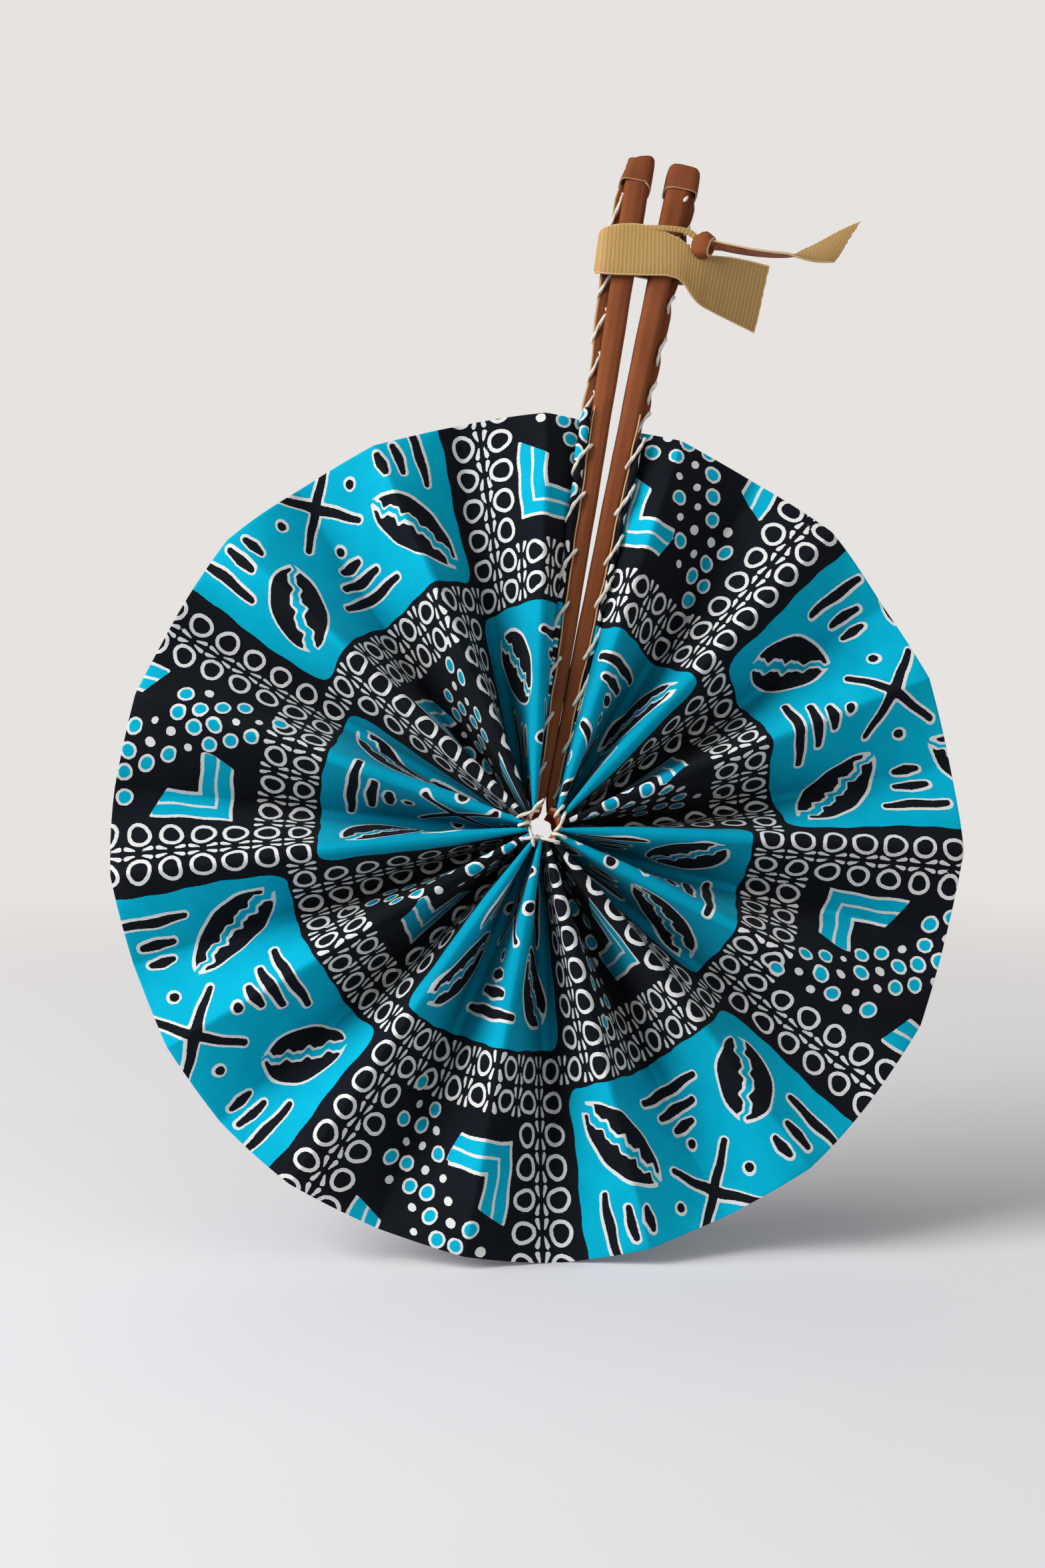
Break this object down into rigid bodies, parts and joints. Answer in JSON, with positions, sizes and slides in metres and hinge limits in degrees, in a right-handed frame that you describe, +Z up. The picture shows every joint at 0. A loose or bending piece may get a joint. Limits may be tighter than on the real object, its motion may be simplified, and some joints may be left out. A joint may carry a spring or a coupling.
{
  "type": "folding hand fan",
  "caption": "Round folding hand fan, open: a pleated printed cloth leaf round a small hub, between two leather-wrapped sticks tied side by side as a handle.",
  "frame": {"origin": "middle of the grip, between the two sticks, where a hand holds them; the hub's axis is 180 mm below it", "axes": "+Z up along the handle, away from the leaf; +Y from the front of the leaf to its back, along the hub's axis; +X to the right seen from the front"},
  "size_m": [0.2994, 0.0328, 0.4008],
  "materials": {
    "printed_cloth": "plain-weave printed cotton, doubled, turquoise, black and white",
    "handle_leather": "smooth brown goat leather, slightly worn",
    "strap_leather": "tan ribbed backing outside, smooth brown face inside",
    "stick_wood": "whittled, unfinished"
  },
  "bodies": {
    "left_handle": {"left_stick": "stick_wood", "left_leather_wrap": "handle_leather", "left_end_cap": "handle_leather", "hub_binding": "handle_leather"},
    "pleat_01": {"pleat_01": "printed_cloth"},
    "pleat_02": {"pleat_02": "printed_cloth"},
    "pleat_03": {"pleat_03": "printed_cloth"},
    "pleat_04": {"pleat_04": "printed_cloth"},
    "pleat_05": {"pleat_05": "printed_cloth"},
    "pleat_06": {"pleat_06": "printed_cloth"},
    "pleat_07": {"pleat_07": "printed_cloth"},
    "pleat_08": {"pleat_08": "printed_cloth"},
    "pleat_09": {"pleat_09": "printed_cloth"},
    "pleat_10": {"pleat_10": "printed_cloth"},
    "pleat_11": {"pleat_11": "printed_cloth"},
    "pleat_12": {"pleat_12": "printed_cloth"},
    "pleat_13": {"pleat_13": "printed_cloth"},
    "pleat_14": {"pleat_14": "printed_cloth"},
    "pleat_15": {"pleat_15": "printed_cloth"},
    "right_handle": {"right_stick": "stick_wood", "right_leather_wrap": "handle_leather", "right_end_cap": "handle_leather"},
    "tie_strap": {"tie_strap": "strap_leather"}
  },
  "joints": [
    {"name": "fold_01", "type": "hinge", "parent": "left_handle", "child": "pleat_01", "pos_m": [-0.00322, 0, -0.17585], "axis": [0, 1, 0], "range_deg": [0, 9.2], "deforming": ["pleat_01", "hub_binding", "tie_strap"]},
    {"name": "fold_02", "type": "hinge", "parent": "pleat_01", "child": "pleat_02", "pos_m": [-0.00417, 0, -0.1768], "axis": [0, 1, 0], "range_deg": [0, 21.47], "deforming": ["pleat_02"]},
    {"name": "fold_03", "type": "hinge", "parent": "pleat_02", "child": "pleat_03", "pos_m": [-0.005, 0, -0.17839], "axis": [0, 1, 0], "range_deg": [0, 24.54], "deforming": ["pleat_03"]},
    {"name": "fold_04", "type": "hinge", "parent": "pleat_03", "child": "pleat_04", "pos_m": [-0.00525, 0, -0.18016], "axis": [0, 1, 0], "range_deg": [0, 24.54], "deforming": ["pleat_04"]},
    {"name": "fold_05", "type": "hinge", "parent": "pleat_04", "child": "pleat_05", "pos_m": [-0.00489, 0, -0.18191], "axis": [0, 1, 0], "range_deg": [0, 24.54], "deforming": ["pleat_05"]},
    {"name": "fold_06", "type": "hinge", "parent": "pleat_05", "child": "pleat_06", "pos_m": [-0.00396, 0, -0.18344], "axis": [0, 1, 0], "range_deg": [0, 24.54], "deforming": ["pleat_06"]},
    {"name": "fold_07", "type": "hinge", "parent": "pleat_06", "child": "pleat_07", "pos_m": [-0.00258, 0, -0.18457], "axis": [0, 1, 0], "range_deg": [0, 24.54], "deforming": ["pleat_07"]},
    {"name": "fold_08", "type": "hinge", "parent": "pleat_07", "child": "pleat_08", "pos_m": [-0.00089, 0, -0.18517], "axis": [0, 1, 0], "range_deg": [0, 24.54], "deforming": ["pleat_08"]},
    {"name": "fold_09", "type": "hinge", "parent": "pleat_08", "child": "pleat_09", "pos_m": [0.00089, 0, -0.18517], "axis": [0, 1, 0], "range_deg": [0, 24.54], "deforming": ["pleat_09"]},
    {"name": "fold_10", "type": "hinge", "parent": "pleat_09", "child": "pleat_10", "pos_m": [0.00258, 0, -0.18457], "axis": [0, 1, 0], "range_deg": [0, 24.54], "deforming": ["pleat_10"]},
    {"name": "fold_11", "type": "hinge", "parent": "pleat_10", "child": "pleat_11", "pos_m": [0.00396, 0, -0.18344], "axis": [0, 1, 0], "range_deg": [0, 24.54], "deforming": ["pleat_11"]},
    {"name": "fold_12", "type": "hinge", "parent": "pleat_11", "child": "pleat_12", "pos_m": [0.00489, 0, -0.18191], "axis": [0, 1, 0], "range_deg": [0, 24.54], "deforming": ["pleat_12"]},
    {"name": "fold_13", "type": "hinge", "parent": "pleat_12", "child": "pleat_13", "pos_m": [0.00525, 0, -0.18016], "axis": [0, 1, 0], "range_deg": [0, 24.54], "deforming": ["pleat_13"]},
    {"name": "fold_14", "type": "hinge", "parent": "pleat_13", "child": "pleat_14", "pos_m": [0.005, 0, -0.17839], "axis": [0, 1, 0], "range_deg": [0, 24.54], "deforming": ["pleat_14"]},
    {"name": "fold_15", "type": "hinge", "parent": "pleat_14", "child": "pleat_15", "pos_m": [0.00417, 0, -0.1768], "axis": [0, 1, 0], "range_deg": [0, 21.47], "deforming": ["pleat_15"]},
    {"name": "fold_16", "type": "hinge", "parent": "pleat_15", "child": "right_handle", "pos_m": [0.00322, 0, -0.17585], "axis": [0, 1, 0], "range_deg": [0, 9.2]},
    {"name": "strap_slide", "type": "slide", "parent": "left_handle", "child": "tie_strap", "axis": [0, 0, 1], "range_m": [-0.04, 0]}
  ],
  "couplings": [
    {"joint": "fold_02", "follows": "fold_01", "ratio": 2.3333},
    {"joint": "fold_03", "follows": "fold_01", "ratio": 2.6667},
    {"joint": "fold_04", "follows": "fold_01", "ratio": 2.6667},
    {"joint": "fold_05", "follows": "fold_01", "ratio": 2.6667},
    {"joint": "fold_06", "follows": "fold_01", "ratio": 2.6667},
    {"joint": "fold_07", "follows": "fold_01", "ratio": 2.6667},
    {"joint": "fold_08", "follows": "fold_01", "ratio": 2.6667},
    {"joint": "fold_09", "follows": "fold_01", "ratio": 2.6667},
    {"joint": "fold_10", "follows": "fold_01", "ratio": 2.6667},
    {"joint": "fold_11", "follows": "fold_01", "ratio": 2.6667},
    {"joint": "fold_12", "follows": "fold_01", "ratio": 2.6667},
    {"joint": "fold_13", "follows": "fold_01", "ratio": 2.6667},
    {"joint": "fold_14", "follows": "fold_01", "ratio": 2.6667},
    {"joint": "fold_15", "follows": "fold_01", "ratio": 2.3333},
    {"joint": "fold_16", "follows": "fold_01", "ratio": 1}
  ]
}
